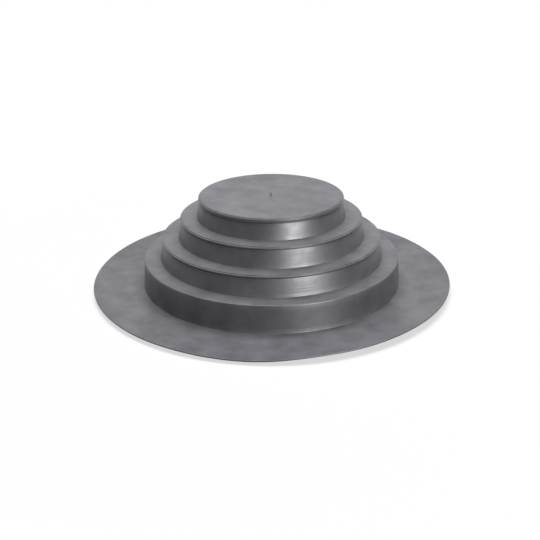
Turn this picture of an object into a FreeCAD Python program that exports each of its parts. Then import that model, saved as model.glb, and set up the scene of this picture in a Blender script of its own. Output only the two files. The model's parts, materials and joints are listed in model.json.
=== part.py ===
"""Stepped pipe flashing boot, moulded in one piece from rubber.

A pipe comes up through a flat roof, and the boot seals round it. The wide thin flange is bonded to the roof
covering. Above it a collar and three steps, each narrower than the one below, rise to a closed top. The installer
cuts the top off just under the rim of the step that suits the pipe and stretches the boot over it, so every step
has a straight seat inside, and outside a bead round its rim with a groove under it to guide the knife.

The boot stands on the underside of its flange. The origin is the centre of that face, and Z is the axis of the
pipe. All lengths are in millimetres.
"""

import FreeCAD
import Part
import math
import os

from FreeCAD import Vector

# Seats inside the steps, where the pipe is gripped
TOP_SEAT_DIAMETER = 94.0  # inside the top step
SEAT_GROWTH = 26.0  # on the diameter, from each step to the one below it
STEP_COUNT = 3  # steps above the collar

# Heights
COLLAR_HEIGHT = 19.0  # from the flange to the ledge on top of the collar
STEP_HEIGHT = 14.1  # from one ledge to the next

# Thicknesses of the rubber
STEP_WALL = 2.4  # wall of a step, under its groove
COLLAR_WALL = 2.8  # wall of the collar, at its top
LEDGE_THICKNESS = 2.5  # ledges and the closed top

# Draft of the walls, on the outside only, so that the seats stay straight
STEP_DRAFT = 11.0  # degrees
COLLAR_DRAFT = 4.0  # degrees

# Flange, which thins towards its edge
FLANGE_DIAMETER = 250.0
FLANGE_ROOT_THICKNESS = 2.4
FLANGE_EDGE_THICKNESS = 1.0

# Bead round the rim of each step, just below its face, and the groove that guides the knife
FACE_DROP = 0.45  # from the face down to the bead
BEAD_SHELF = 0.9  # how far the bead stands out beyond the face
BEAD_OVERHANG = 0.6  # how far it stands out beyond the wall under it
BEAD_DROP = 1.4  # from the face down to the bead's underside
TOP_BEAD_DROP = 2.6  # the same on the closed top, whose rim is deeper
GROOVE_HEIGHT = 0.7
GROOVE_DEPTH = 0.4  # into the wall

# Closed top
TOP_DISH = 0.9  # how far the middle of the top lies below its rim
NIB_DIAMETER = 1.5  # stub left in the middle where the rubber entered the mould
NIB_HEIGHT = 2.6

# Roundings of the mould
BEAD_ROUNDING = 0.6
STEP_FOOT_ROUNDING = 0.3
COLLAR_RIM_ROUNDING = 0.8
COLLAR_FOOT_ROUNDING = 0.4
FLANGE_EDGE_ROUNDING = 0.4
SEAT_ROUNDING = 1.0
FLATS_PER_MM = 1.0  # flats that stand for each millimetre of a rounding's radius

JOINING_GAP = 1e-6  # ends nearer than this are one point


def point(radius, height):
    return Vector(radius, 0, height)


def rounding_points(before, tip, after, rounding):
    """Points along the rounding of a corner, from where it leaves one side to where it meets the other."""
    back = (before - tip).normalize()
    ahead = (after - tip).normalize()
    half_angle = back.getAngle(ahead) / 2
    centre = tip + (back + ahead).normalize() * (rounding / math.sin(half_angle))
    reach = rounding / math.tan(half_angle)
    start = tip + back * reach
    end = tip + ahead * reach
    turn = math.pi - 2 * half_angle
    flats = math.ceil(rounding * FLATS_PER_MM)
    from_centre = start - centre
    across = (end - centre) - from_centre * math.cos(turn)
    across = across.normalize() * rounding
    angles = [turn * i / flats for i in range(flats + 1)]
    return [centre + from_centre * math.cos(angle) + across * math.sin(angle) for angle in angles]


def outline(corners):
    """Closed wire through (radius, height, rounding) corners, where a rounding of 0 is a sharp corner."""
    tips = [point(radius, height) for radius, height, _ in corners]
    points = []
    for i, (_, _, rounding) in enumerate(corners):
        if rounding > 0:
            points += rounding_points(tips[i - 1], tips[i], tips[(i + 1) % len(tips)], rounding)
        else:
            points.append(tips[i])
    separate = [p for i, p in enumerate(points) if p.distanceToPoint(points[i - 1]) > JOINING_GAP]
    return Part.makePolygon(separate + separate[:1])


def seat_radius(step):
    """Inside radius of a step: 0 is the top one, and STEP_COUNT is the collar."""
    return (TOP_SEAT_DIAMETER + step * SEAT_GROWTH) / 2


def face_height(step):
    """Height of the face on top of a step: 0 is the closed top, and STEP_COUNT is the collar's ledge."""
    return FLANGE_ROOT_THICKNESS + COLLAR_HEIGHT + (STEP_COUNT - step) * STEP_HEIGHT


def drafted(radius, drop, draft):
    """Outside radius of a wall, a drop below the place where it has the given radius."""
    return radius + drop * math.tan(math.radians(draft))


def top_corners():
    """Middle of the closed top, with the stub of rubber that stands on it."""
    dish = face_height(0) - TOP_DISH
    nib = NIB_DIAMETER / 2
    return [
        (0, dish + NIB_HEIGHT, 0),
        (nib, dish + NIB_HEIGHT, 0),
        (nib, dish, 0),
    ]


def step_corners(step):
    """Outside of one step, from the edge of its face down over its bead and groove to its foot on the ledge below."""
    face = face_height(step)
    ledge = face_height(step + 1)
    wall = seat_radius(step) + STEP_WALL
    rim = wall + BEAD_OVERHANG
    bead_underside = face - (TOP_BEAD_DROP if step == 0 else BEAD_DROP)
    groove_bottom = bead_underside - GROOVE_HEIGHT
    foot = drafted(wall, groove_bottom - ledge, STEP_DRAFT)
    return [
        (rim - BEAD_SHELF, face, 0),
        (rim - BEAD_SHELF, face - FACE_DROP, 0),
        (rim, face - FACE_DROP, BEAD_ROUNDING),
        (rim, bead_underside, 0),
        (wall - GROOVE_DEPTH, bead_underside, 0),
        (wall - GROOVE_DEPTH, groove_bottom, 0),
        (wall, groove_bottom, 0),
        (foot, ledge, STEP_FOOT_ROUNDING),
    ]


def collar_corners():
    """Outside of the collar, from its rim down to its foot on the flange."""
    rim = seat_radius(STEP_COUNT) + COLLAR_WALL
    foot = drafted(rim, COLLAR_HEIGHT, COLLAR_DRAFT)
    return [
        (rim, face_height(STEP_COUNT), COLLAR_RIM_ROUNDING),
        (foot, FLANGE_ROOT_THICKNESS, COLLAR_FOOT_ROUNDING),
    ]


def flange_corners():
    """Edge of the flange."""
    edge = FLANGE_DIAMETER / 2
    rounding = min(FLANGE_EDGE_ROUNDING, FLANGE_EDGE_THICKNESS / 2)
    return [
        (edge, FLANGE_EDGE_THICKNESS, rounding),
        (edge, 0, rounding),
    ]


def seat_corners():
    """Inside of the boot, from the mouth of the collar up to the underside of the closed top."""
    corners = [(seat_radius(STEP_COUNT), 0, SEAT_ROUNDING)]
    for step in range(STEP_COUNT, 0, -1):
        underside = face_height(step) - LEDGE_THICKNESS
        corners.append((seat_radius(step), underside, SEAT_ROUNDING))
        corners.append((seat_radius(step - 1), underside, SEAT_ROUNDING))
    ceiling = face_height(0) - LEDGE_THICKNESS
    corners.append((seat_radius(0), ceiling, SEAT_ROUNDING))
    corners.append((0, ceiling - TOP_DISH, 0))
    return corners


def section():
    """Half of the boot's cross-section, as one face beside the axis."""
    corners = top_corners()
    for step in range(STEP_COUNT):
        corners += step_corners(step)
    corners += collar_corners() + flange_corners() + seat_corners()
    return Part.Face(outline(corners))


def main():
    boot = section().revolve(Vector(0, 0, 0), Vector(0, 0, 1), 360)
    os.makedirs("parts", exist_ok=True)
    boot.exportStep("parts/boot.step")
    box = boot.optimalBoundingBox()
    print(f"boot: {boot.ShapeType}, valid {boot.isValid()}, {boot.Volume / 1000:.1f} cm3, {len(boot.Faces)} faces")
    print(f"size {box.XLength:.2f} x {box.YLength:.2f} x {box.ZLength:.2f}, lowest point {box.ZMin:.3f}")
    for step in range(STEP_COUNT + 1):
        print(f"seat {step}: radius {seat_radius(step):.2f}, face at {face_height(step):.2f}")


main()
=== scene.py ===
"""The looks of a stepped rubber pipe flashing boot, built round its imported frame.

The boot is one moulding of black EPDM rubber that has dulled to a dark slate grey. Its section is drawn
once and spun round the axis of the pipe. The thin flange is then lifted a little where the soft sheet
doesn't lie flat. Lengths are named in millimetres and turned to metres where they are used.
"""

import json
import math

import bmesh
import bpy
from mathutils import Matrix, Vector


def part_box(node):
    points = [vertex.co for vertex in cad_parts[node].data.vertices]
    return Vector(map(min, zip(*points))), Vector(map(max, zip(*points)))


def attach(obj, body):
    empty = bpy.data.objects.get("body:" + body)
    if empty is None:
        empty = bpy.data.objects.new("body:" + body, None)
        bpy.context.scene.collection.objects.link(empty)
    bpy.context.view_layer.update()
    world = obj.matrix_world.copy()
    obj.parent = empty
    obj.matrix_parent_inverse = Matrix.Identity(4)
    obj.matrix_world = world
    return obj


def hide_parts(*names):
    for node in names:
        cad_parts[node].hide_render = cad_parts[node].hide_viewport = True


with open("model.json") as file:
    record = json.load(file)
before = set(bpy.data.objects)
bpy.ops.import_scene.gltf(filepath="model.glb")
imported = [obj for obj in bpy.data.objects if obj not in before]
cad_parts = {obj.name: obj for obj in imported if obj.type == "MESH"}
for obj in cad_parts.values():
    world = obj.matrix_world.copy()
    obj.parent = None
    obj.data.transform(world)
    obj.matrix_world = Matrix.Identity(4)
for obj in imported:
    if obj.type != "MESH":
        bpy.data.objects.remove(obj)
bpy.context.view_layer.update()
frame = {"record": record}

MM = 0.001

# Sizes of the boot that the frame holds, in millimetres
_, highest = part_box("boot")
FLANGE_EDGE = highest.x / MM
SEATS = sorted(
    mount["dims"]["r_mm"] for mount in frame["record"]["mounts"] if mount["kind"] == "bore"
)

# Sizes of its section, in millimetres, and its drafts, in degrees
FLANGE_ROOT_THICKNESS = 2.4
FLANGE_EDGE_THICKNESS = 1.0
FLANGE_EDGE_ROUNDING = 0.4
COLLAR_HEIGHT = 19.0
STEP_HEIGHT = 14.1
STEP_WALL = 2.4
COLLAR_WALL = 2.8
LEDGE_THICKNESS = 2.5
STEP_DRAFT = 11.0
COLLAR_DRAFT = 4.0
FACE_DROP = 0.45
BEAD_SHELF = 0.9
BEAD_OVERHANG = 0.6
BEAD_DROP = 1.4
TOP_BEAD_DROP = 2.6
GROOVE_HEIGHT = 0.7
GROOVE_DEPTH = 0.4
FACE_ROUNDING = 0.05
BEAD_ROUNDING = 0.4
GROOVE_ROUNDING = 0.08
STEP_FOOT_ROUNDING = 0.15
COLLAR_RIM_ROUNDING = 0.8
COLLAR_FOOT_ROUNDING = 0.15
SEAT_ROUNDING = 1.0
TOP_DISH = 0.9
NIB_DIAMETER = 1.5
NIB_TIP_DIAMETER = 0.9
NIB_HEIGHT = 2.6
NIB_FOOT_ROUNDING = 1.2
NIB_END_ROUNDING = 0.4

# How finely the skin is made: counts, and lengths in millimetres
TURN_STEPS = 288
ARC_SEGMENTS = 5
LONGEST_EDGE = 4.0
SAME_PLACE = 0.0001

# How the flange lies, going round from the right: (direction in degrees, lift of its edge in millimetres)
FLANGE_LIFTS = [
    (0, 4.6),
    (30, 4.0),
    (75, 3.2),
    (135, 3.8),
    (180, 3.2),
    (235, 2.4),
    (262, 1.7),
    (288, 3.9),
    (320, 4.8),
]
# The lift begins level at this radius. Its bend is 1 for a sheet that curls up evenly, and more for one that
# straightens towards its edge.
LIFT_START = 97.0
LIFT_BEND = 1.6

# Camera: where it stands, measured from the middle of the closed top, and how it is turned, in
# millimetres and degrees
CAMERA_DISTANCE = 600.0
CAMERA_ELEVATION = 18.18
CAMERA_PITCH = 23.14
CAMERA_YAW = -0.108
CAMERA_ROLL = -0.43
CAMERA_LENS = 57.93
CAMERA_NEAREST = 10.0

# Sizes of the patterns on the rubber, in millimetres. The turning rings of a real mould are finer and
# shallower than these, which are as coarse as they need to be to show.
CLOUD_SIZE = 17.0
BLOOM_SIZE = 6.0
RING_SPACING = 1.1
RING_DEPTH = 0.06
# Nearly all of a noise lies between these values, so the two ends of a look are set there
NOISE_LOW = 0.3
NOISE_HIGH = 0.7

# Lamps: (name, place, target, width, height, watts, whether it also lights what is matt). The overhead
# panel gives the plain level, the key lights the walls from low on the right, and the sheen draws the
# strips of light on them.
LAMPS = [
    ("overhead", (0, 120, 1200), (0, 0, 0), 1000, 900, 19, True),
    ("key", (354, -545, 130), (0, 0, 40), 200, 140, 0.6, True),
    ("sheen", (354, -545, 130), (0, 0, 40), 200, 140, 11, False),
]
LAMP_COLOUR = (0.97, 0.955, 1.0)
ROOM_LIGHT = 0.02

# Floor: (distance from the boot's middle in millimetres, how far the paper is lightened there) near and far
NEAR_FLOOR = (120, 0.65)
FAR_FLOOR = (320, 1.0)
FLOOR_SIZE = 8000
FLOOR_GAP = 0.2


def linear(hex_colour):
    """sRGB hex colour as linear RGBA."""
    channels = [int(hex_colour[i : i + 2], 16) / 255 for i in (1, 3, 5)]
    return (*[c / 12.92 if c <= 0.04045 else ((c + 0.055) / 1.055) ** 2.4 for c in channels], 1.0)


def add_node(tree, kind, settings=None, **inputs):
    """A node of that kind, with its settings. An input takes a value, or a link from another node."""
    node = tree.nodes.new(kind)
    for name, value in (settings or {}).items():
        setattr(node, name, value)
    for name, value in inputs.items():
        socket = node.inputs[int(name[1:]) if name[1:].isdigit() else name.replace("_", " ")]
        if isinstance(value, bpy.types.NodeSocket):
            tree.links.new(value, socket)
        else:
            socket.default_value = value
    return node


# ------------------------------------------------------------------------------------ the boot's shape


def face_height(step):
    """Height of the face on top of a step: 0 is the closed top, and the last is the collar's ledge."""
    steps_below = len(SEATS) - 1 - step
    return FLANGE_ROOT_THICKNESS + COLLAR_HEIGHT + steps_below * STEP_HEIGHT


def step_corners(step):
    """(radius, height, rounding) corners down the outside of a step: face, bead, groove, wall and foot."""
    face = face_height(step)
    ledge = face_height(step + 1)
    wall = SEATS[step] + STEP_WALL
    rim = wall + BEAD_OVERHANG
    bead_underside = face - (TOP_BEAD_DROP if step == 0 else BEAD_DROP)
    groove_bottom = bead_underside - GROOVE_HEIGHT
    foot = wall + (groove_bottom - ledge) * math.tan(math.radians(STEP_DRAFT))
    return [
        (rim - BEAD_SHELF, face, FACE_ROUNDING),
        (rim - BEAD_SHELF, face - FACE_DROP, FACE_ROUNDING),
        (rim, face - FACE_DROP, BEAD_ROUNDING),
        (rim, bead_underside, GROOVE_ROUNDING),
        (wall - GROOVE_DEPTH, bead_underside, GROOVE_ROUNDING),
        (wall - GROOVE_DEPTH, groove_bottom, GROOVE_ROUNDING),
        (wall, groove_bottom, GROOVE_ROUNDING),
        (foot, ledge, STEP_FOOT_ROUNDING),
    ]


def section_corners():
    """(radius, height, rounding) corners of the section, from the top's middle to the ceiling's middle."""
    collar = len(SEATS) - 1
    collar_rim = SEATS[collar] + COLLAR_WALL
    collar_foot = collar_rim + COLLAR_HEIGHT * math.tan(math.radians(COLLAR_DRAFT))
    corners = [
        (0, face_height(0) + NIB_HEIGHT, 0),
        (NIB_TIP_DIAMETER / 2, face_height(0) + NIB_HEIGHT, NIB_END_ROUNDING),
        (NIB_DIAMETER / 2, face_height(0), NIB_FOOT_ROUNDING),
    ]
    for step in range(collar):
        corners += step_corners(step)
    corners += [
        (collar_rim, face_height(collar), COLLAR_RIM_ROUNDING),
        (collar_foot, FLANGE_ROOT_THICKNESS, COLLAR_FOOT_ROUNDING),
        (FLANGE_EDGE, FLANGE_EDGE_THICKNESS, FLANGE_EDGE_ROUNDING),
        (FLANGE_EDGE, 0, FLANGE_EDGE_ROUNDING),
        (SEATS[collar], 0, SEAT_ROUNDING),
    ]
    for step in range(collar, 0, -1):
        underside = face_height(step) - LEDGE_THICKNESS
        corners.append((SEATS[step], underside, SEAT_ROUNDING))
        corners.append((SEATS[step - 1], underside, SEAT_ROUNDING))
    ceiling = face_height(0) - LEDGE_THICKNESS
    corners.append((SEATS[0], ceiling, SEAT_ROUNDING))
    corners.append((0, ceiling, 0))
    return corners


def rounded_section(bm):
    """Draws the section as one face beside the axis, with its corners rounded."""
    corners = section_corners()
    verts = [bm.verts.new((radius * MM, 0, height * MM)) for radius, height, _ in corners]
    bm.faces.new(verts)
    places = [vert.co.copy() for vert in verts]
    for i, (_, _, rounding) in enumerate(corners):
        if not rounding:
            continue
        back = places[i - 1] - places[i]
        ahead = places[(i + 1) % len(places)] - places[i]
        reach = rounding * MM / math.tan(back.angle(ahead) / 2)
        bmesh.ops.bevel(
            bm,
            geom=[verts[i]],
            offset=reach,
            offset_type="OFFSET",
            segments=ARC_SEGMENTS,
            profile=0.5,
            affect="VERTICES",
            material=-1,
        )


def keep_outline(bm):
    """Takes away the section's face and its side on the axis, and divides the rest finely enough to bend."""
    bmesh.ops.delete(bm, geom=bm.faces[:], context="FACES_ONLY")
    on_axis = [edge for edge in bm.edges if max(vert.co.x for vert in edge.verts) < SAME_PLACE * MM]
    bmesh.ops.delete(bm, geom=on_axis, context="EDGES")
    for edge in bm.edges[:]:
        pieces = math.ceil(edge.calc_length() / (LONGEST_EDGE * MM))
        if pieces > 1:
            bmesh.ops.subdivide_edges(bm, edges=[edge], cuts=pieces - 1)


def lift_at(direction):
    """Lift of the flange's edge in a direction in degrees, by a smooth blend between the named directions."""
    ends = FLANGE_LIFTS + [(360, FLANGE_LIFTS[0][1])]
    for (low, lift_low), (high, lift_high) in zip(ends, ends[1:]):
        if direction <= high:
            share = (direction - low) / (high - low)
            ease = (1 - math.cos(math.pi * share)) / 2
            return lift_low + (lift_high - lift_low) * ease


def settle(bm):
    """Sags the closed top a little, and lifts the flange where the soft sheet doesn't lie flat."""
    rim = SEATS[0] + STEP_WALL + BEAD_OVERHANG - BEAD_SHELF
    ceiling_corner = face_height(0) - LEDGE_THICKNESS - SEAT_ROUNDING
    for vert in bm.verts:
        radius = vert.co.xy.length / MM
        if radius < rim and vert.co.z > ceiling_corner * MM:
            vert.co.z -= TOP_DISH * MM * (1 - (radius / rim) ** 2)
        if radius > LIFT_START:
            direction = math.degrees(math.atan2(vert.co.y, vert.co.x)) % 360
            share = (radius - LIFT_START) / (FLANGE_EDGE - LIFT_START)
            vert.co.z += lift_at(direction) * MM * share**2 * (LIFT_BEND - (LIFT_BEND - 1) * share)


def make_boot():
    """The whole boot, as one closed skin."""
    bm = bmesh.new()
    rounded_section(bm)
    keep_outline(bm)
    bmesh.ops.spin(
        bm,
        geom=bm.verts[:] + bm.edges[:],
        cent=(0, 0, 0),
        axis=(0, 0, 1),
        angle=math.tau,
        steps=TURN_STEPS,
        use_merge=True,
    )
    bmesh.ops.remove_doubles(bm, verts=bm.verts, dist=SAME_PLACE * MM)
    settle(bm)
    bmesh.ops.recalc_face_normals(bm, faces=bm.faces)
    mesh = bpy.data.meshes.new("rubber_boot")
    for face in bm.faces:
        face.smooth = True
    bm.to_mesh(mesh)
    bm.free()
    boot = bpy.data.objects.new("rubber_boot", mesh)
    bpy.context.scene.collection.objects.link(boot)
    return boot


# --------------------------------------------------------------------------------------- the materials


def moulded_epdm():
    """Black EPDM rubber, pressed in a turned steel mould and dulled by its bloom: slate grey and satin,
    a little cloudy, with faint rings round the axis."""
    material = bpy.data.materials.new("moulded_epdm")
    material.use_nodes = True
    tree = material.node_tree
    tree.nodes.clear()
    place = add_node(tree, "ShaderNodeTexCoord").outputs["Object"]
    cloud = add_node(
        tree, "ShaderNodeTexNoise", Vector=place, Scale=1 / (CLOUD_SIZE * MM), Detail=5.0, Roughness=0.6
    )
    colour = add_node(tree, "ShaderNodeValToRGB", Fac=cloud.outputs["Fac"])
    dark, pale = colour.color_ramp.elements
    dark.position = NOISE_LOW
    dark.color = linear("#58585A")
    pale.position = NOISE_HIGH
    pale.color = linear("#737376")
    bloom = add_node(
        tree, "ShaderNodeTexNoise", Vector=place, Scale=1 / (BLOOM_SIZE * MM), Detail=3.0, Roughness=0.6
    )
    satin = add_node(
        tree,
        "ShaderNodeMapRange",
        Value=bloom.outputs["Fac"],
        From_Min=NOISE_LOW,
        From_Max=NOISE_HIGH,
        To_Min=0.41,
        To_Max=0.49,
    )
    apart = add_node(tree, "ShaderNodeSeparateXYZ", Vector=place)
    across = add_node(tree, "ShaderNodeCombineXYZ", X=apart.outputs["X"], Y=apart.outputs["Y"])
    radius = add_node(tree, "ShaderNodeVectorMath", {"operation": "LENGTH"}, _0=across.outputs["Vector"])
    turned = add_node(tree, "ShaderNodeCombineXYZ", X=radius.outputs["Value"], Z=apart.outputs["Z"])
    rings = add_node(
        tree, "ShaderNodeTexNoise", Vector=turned.outputs["Vector"], Scale=1 / (RING_SPACING * MM), Detail=2.0
    )
    relief = add_node(
        tree, "ShaderNodeBump", Height=rings.outputs["Fac"], Strength=1.0, Distance=RING_DEPTH * MM
    )
    rubber = add_node(
        tree,
        "ShaderNodeBsdfPrincipled",
        Base_Color=colour.outputs["Color"],
        Roughness=satin.outputs["Result"],
        Normal=relief.outputs["Normal"],
        Specular_IOR_Level=0.36,
        IOR=1.5,
    )
    add_node(tree, "ShaderNodeOutputMaterial", Surface=rubber.outputs["BSDF"])
    return material


def seen_straight(tree):
    """1 for what the camera, a reflection or a clear material sees, and 0 for what lights a matt one."""
    ray = add_node(tree, "ShaderNodeLightPath")
    seen = ray.outputs["Is Camera Ray"]
    for other in ("Is Glossy Ray", "Is Transmission Ray"):
        both = add_node(tree, "ShaderNodeMath", {"operation": "MAXIMUM"}, _0=seen, _1=ray.outputs[other])
        seen = both.outputs["Value"]
    return seen


def white_paper():
    """Matt white paper, which keeps the boot's shadow. It is lightened away from the boot, and throws
    little light back up."""
    material = bpy.data.materials.new("white_paper")
    material.use_nodes = True
    tree = material.node_tree
    tree.nodes.clear()
    seen = seen_straight(tree)
    shade = add_node(
        tree, "ShaderNodeMix", {"data_type": "RGBA"}, _0=seen, _6=linear("#606060"), _7=linear("#F8F8F8")
    )
    paper = add_node(tree, "ShaderNodeBsdfDiffuse", Color=shade.outputs[2])
    white = add_node(tree, "ShaderNodeEmission", Color=linear("#FFFFFF"), Strength=1.0)
    place = add_node(tree, "ShaderNodeTexCoord").outputs["Object"]
    away = add_node(tree, "ShaderNodeVectorMath", {"operation": "LENGTH"}, _0=place)
    lightened = add_node(
        tree,
        "ShaderNodeMapRange",
        {"interpolation_type": "SMOOTHSTEP"},
        Value=away.outputs["Value"],
        From_Min=NEAR_FLOOR[0] * MM,
        From_Max=FAR_FLOOR[0] * MM,
        To_Min=NEAR_FLOOR[1],
        To_Max=FAR_FLOOR[1],
    )
    share = add_node(
        tree, "ShaderNodeMath", {"operation": "MULTIPLY"}, _0=seen, _1=lightened.outputs["Result"]
    )
    mixed = add_node(
        tree,
        "ShaderNodeMixShader",
        Fac=share.outputs["Value"],
        _1=paper.outputs["BSDF"],
        _2=white.outputs["Emission"],
    )
    add_node(tree, "ShaderNodeOutputMaterial", Surface=mixed.outputs["Shader"])
    return material


# ------------------------------------------------------------------------------------------ the studio


def make_floor():
    """A sheet of paper just under the boot."""
    bm = bmesh.new()
    bmesh.ops.create_grid(bm, x_segments=1, y_segments=1, size=FLOOR_SIZE / 2 * MM)
    bmesh.ops.translate(bm, verts=bm.verts, vec=(0, 0, -FLOOR_GAP * MM))
    mesh = bpy.data.meshes.new("floor")
    bm.to_mesh(mesh)
    bm.free()
    floor = bpy.data.objects.new("floor", mesh)
    bpy.context.scene.collection.objects.link(floor)
    floor.data.materials.append(white_paper())


def make_lamp(name, place, target, width, height, watts, lights_matt):
    """A soft panel of light at a place, facing a target."""
    lamp = bpy.data.lights.new(name, "AREA")
    lamp.shape = "RECTANGLE"
    lamp.size = width * MM
    lamp.size_y = height * MM
    lamp.energy = watts
    lamp.color = LAMP_COLOUR
    panel = bpy.data.objects.new(name, lamp)
    panel.location = Vector(place) * MM
    panel.rotation_euler = (Vector(target) - Vector(place)).to_track_quat("-Z", "Y").to_euler()
    panel.visible_diffuse = lights_matt
    bpy.context.scene.collection.objects.link(panel)


def make_world():
    """White round the camera and in reflections, and a dim even light everywhere else."""
    world = bpy.data.worlds.new("studio")
    bpy.context.scene.world = world
    world.use_nodes = True
    tree = world.node_tree
    tree.nodes.clear()
    dim = add_node(tree, "ShaderNodeBackground", Color=linear("#FFFFFF"), Strength=ROOM_LIGHT)
    white = add_node(tree, "ShaderNodeBackground", Color=linear("#FFFFFF"), Strength=1.0)
    mixed = add_node(
        tree,
        "ShaderNodeMixShader",
        Fac=seen_straight(tree),
        _1=dim.outputs["Background"],
        _2=white.outputs["Background"],
    )
    add_node(tree, "ShaderNodeOutputWorld", Surface=mixed.outputs["Shader"])


def make_camera():
    """The camera stands in front of the boot, a little above it, and looks down past its middle."""
    elevation = math.radians(CAMERA_ELEVATION)
    pitch = math.radians(CAMERA_PITCH)
    yaw = math.radians(CAMERA_YAW)
    roll = math.radians(CAMERA_ROLL)
    top = Vector((0, 0, face_height(0)))
    place = top + CAMERA_DISTANCE * Vector((0, -math.cos(elevation), math.sin(elevation)))
    forward = Vector((math.sin(yaw) * math.cos(pitch), math.cos(yaw) * math.cos(pitch), -math.sin(pitch)))
    right = forward.cross(Vector((0, 0, 1))).normalized()
    up = right.cross(forward)
    turned_right = right * math.cos(roll) + up * math.sin(roll)
    turned_up = up * math.cos(roll) - right * math.sin(roll)
    axes = Matrix((turned_right, turned_up, -forward)).transposed().to_4x4()
    data = bpy.data.cameras.new("camera")
    data.lens = CAMERA_LENS
    data.clip_start = CAMERA_NEAREST * MM
    camera = bpy.data.objects.new("camera", data)
    camera.matrix_world = Matrix.Translation(place * MM) @ axes
    bpy.context.scene.collection.objects.link(camera)
    bpy.context.scene.camera = camera


def main():
    make_camera()
    boot = make_boot()
    boot.data.materials.append(moulded_epdm())
    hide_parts("boot")
    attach(boot, "root")
    make_floor()
    make_world()
    for lamp in LAMPS:
        make_lamp(*lamp)
    bpy.context.scene.view_settings.view_transform = "Standard"


main()
